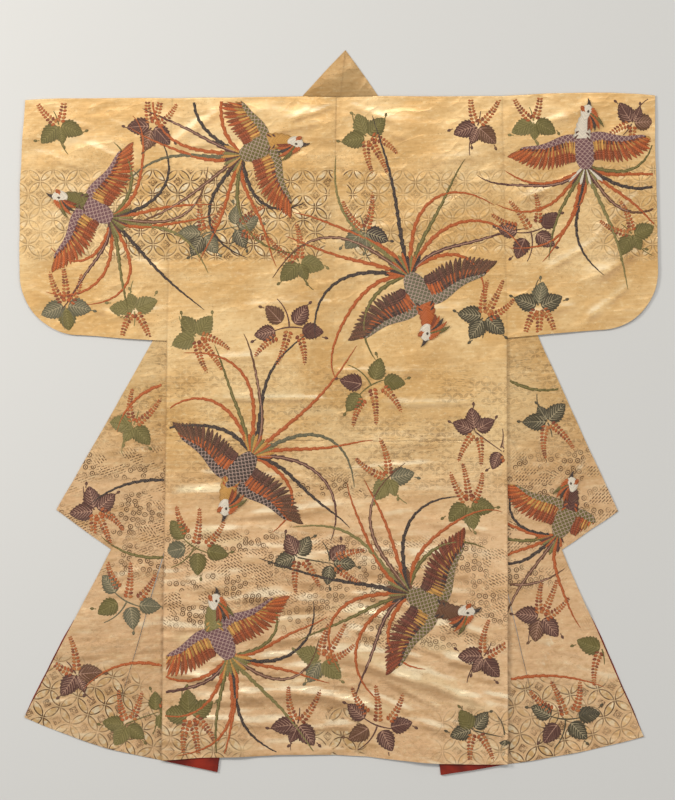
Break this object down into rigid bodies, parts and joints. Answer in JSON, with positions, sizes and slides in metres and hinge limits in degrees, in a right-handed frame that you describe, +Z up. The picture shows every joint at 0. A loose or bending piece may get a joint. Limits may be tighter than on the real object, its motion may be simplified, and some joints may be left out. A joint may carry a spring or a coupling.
{
  "type": "noh robe",
  "caption": "Noh robe of gold satin with small rounded sleeves, lying flat with its back up and its fronts swung outwards.",
  "frame": {"origin": "middle of the robe's bounding box, on the surface that it lies on", "axes": "+Y towards the collar, +X across the sleeves, +Z up through the cloth"},
  "size_m": [1.41, 1.6016, 0.0085],
  "materials": {
    "gold_satin": "aged gold-ground silk satin with worn gold leaf patterns and silk floss embroidery",
    "red_lining": "plain red silk lining"
  },
  "bodies": {
    "root": {"body_left": "gold_satin", "body_right": "gold_satin", "overlap_left": "gold_satin", "overlap_right": "gold_satin", "sleeve_left": "gold_satin", "sleeve_right": "gold_satin", "collar_left": "gold_satin", "collar_right": "gold_satin", "lining_left": "red_lining", "lining_right": "red_lining", "lining_rim_left": "red_lining", "lining_rim_right": "red_lining"}
  },
  "joints": []
}
